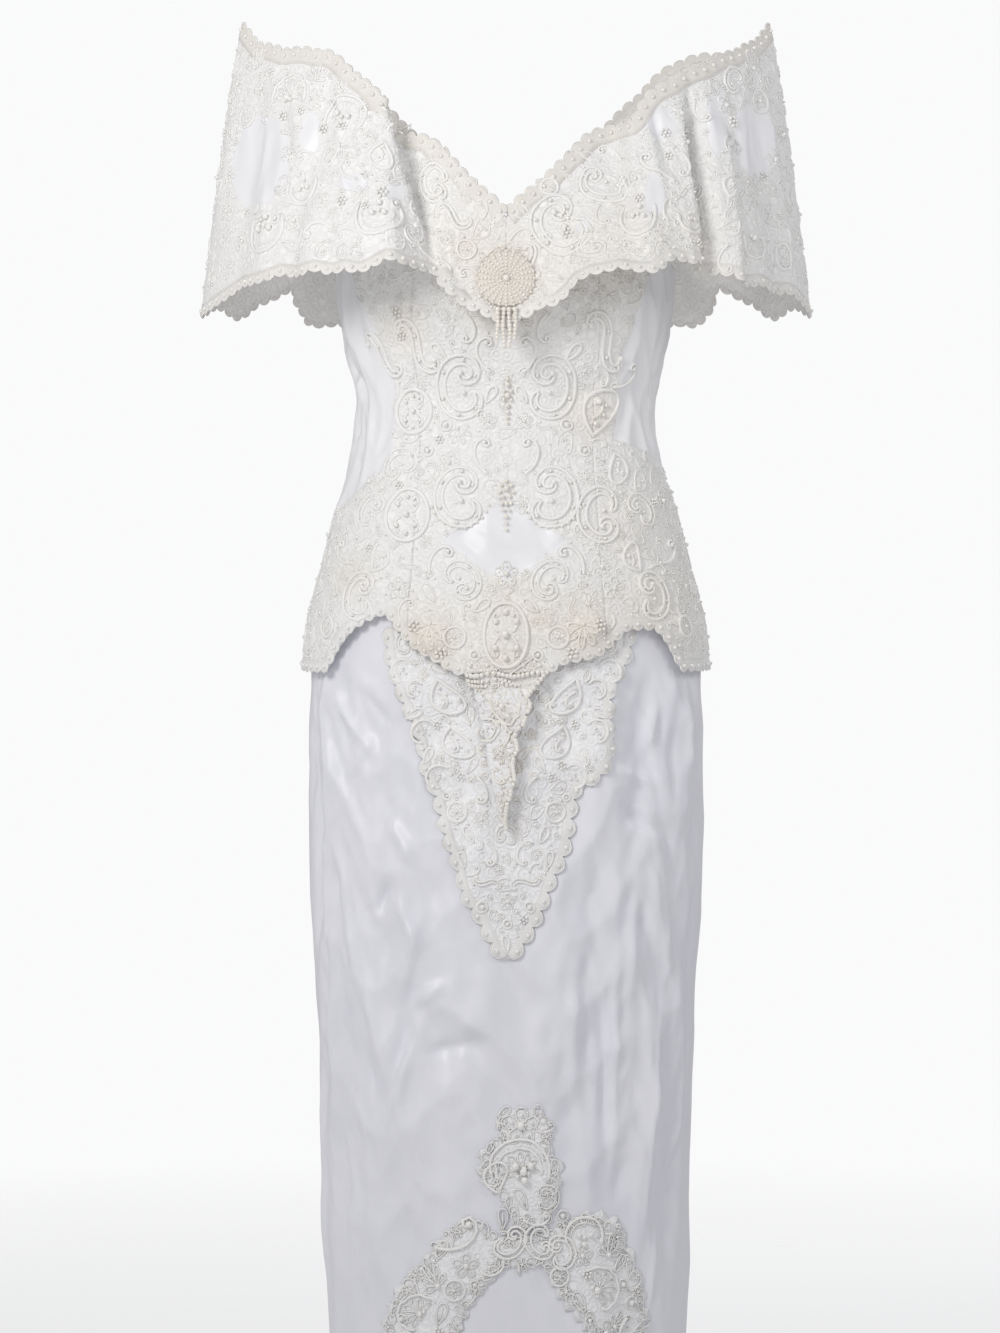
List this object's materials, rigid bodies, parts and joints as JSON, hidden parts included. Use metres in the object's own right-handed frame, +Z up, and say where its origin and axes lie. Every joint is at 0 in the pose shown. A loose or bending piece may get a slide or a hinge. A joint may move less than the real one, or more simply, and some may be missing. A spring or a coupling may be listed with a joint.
{
  "type": "wedding dress",
  "caption": "Fitted satin wedding gown with a wide off-shoulder lace collar, scalloped lace basque, pearl ornaments and a straight floor-length skirt, in its hollow worn form.",
  "frame": {"origin": "centre of the waist, where the wearer holds it", "axes": "+Z up along the wearer's body, front towards -Y, +X to the viewer's right; left and right in names are the viewer's"},
  "size_m": [0.564, 0.3117, 1.387],
  "materials": {
    "satin": "glossy bridal satin",
    "lace_on_satin": "corded and beaded lace over satin",
    "collar_lace": "embroidered, beaded lace over satin",
    "corded_lace": "corded lace applique",
    "champagne_beadwork": "beadwork on lace, champagne",
    "pearls": "champagne pearl beads"
  },
  "bodies": {
    "root": {"bodice_front": "lace_on_satin", "bodice_side_left": "lace_on_satin", "bodice_side_right": "lace_on_satin", "bodice_back_left": "lace_on_satin", "bodice_back_right": "lace_on_satin", "collar_front_left": "collar_lace", "collar_front_right": "collar_lace", "collar_back_left": "collar_lace", "collar_back_right": "collar_lace", "basque_point": "champagne_beadwork", "skirt_front": "satin", "skirt_back_left": "satin", "skirt_back_right": "satin", "skirt_v_lace": "corded_lace", "skirt_arch_flower": "corded_lace", "skirt_arch_lace": "corded_lace", "pearl_fan": "pearls", "pearl_tassel": "pearls", "pearl_drop_upper": "pearls", "pearl_drop_lower": "pearls", "back_button_01": "satin", "back_button_02": "satin", "back_button_03": "satin", "back_button_04": "satin", "back_button_05": "satin", "back_button_06": "satin", "back_button_07": "satin", "back_button_08": "satin", "back_button_09": "satin", "back_button_10": "satin", "back_button_11": "satin"}
  },
  "joints": []
}
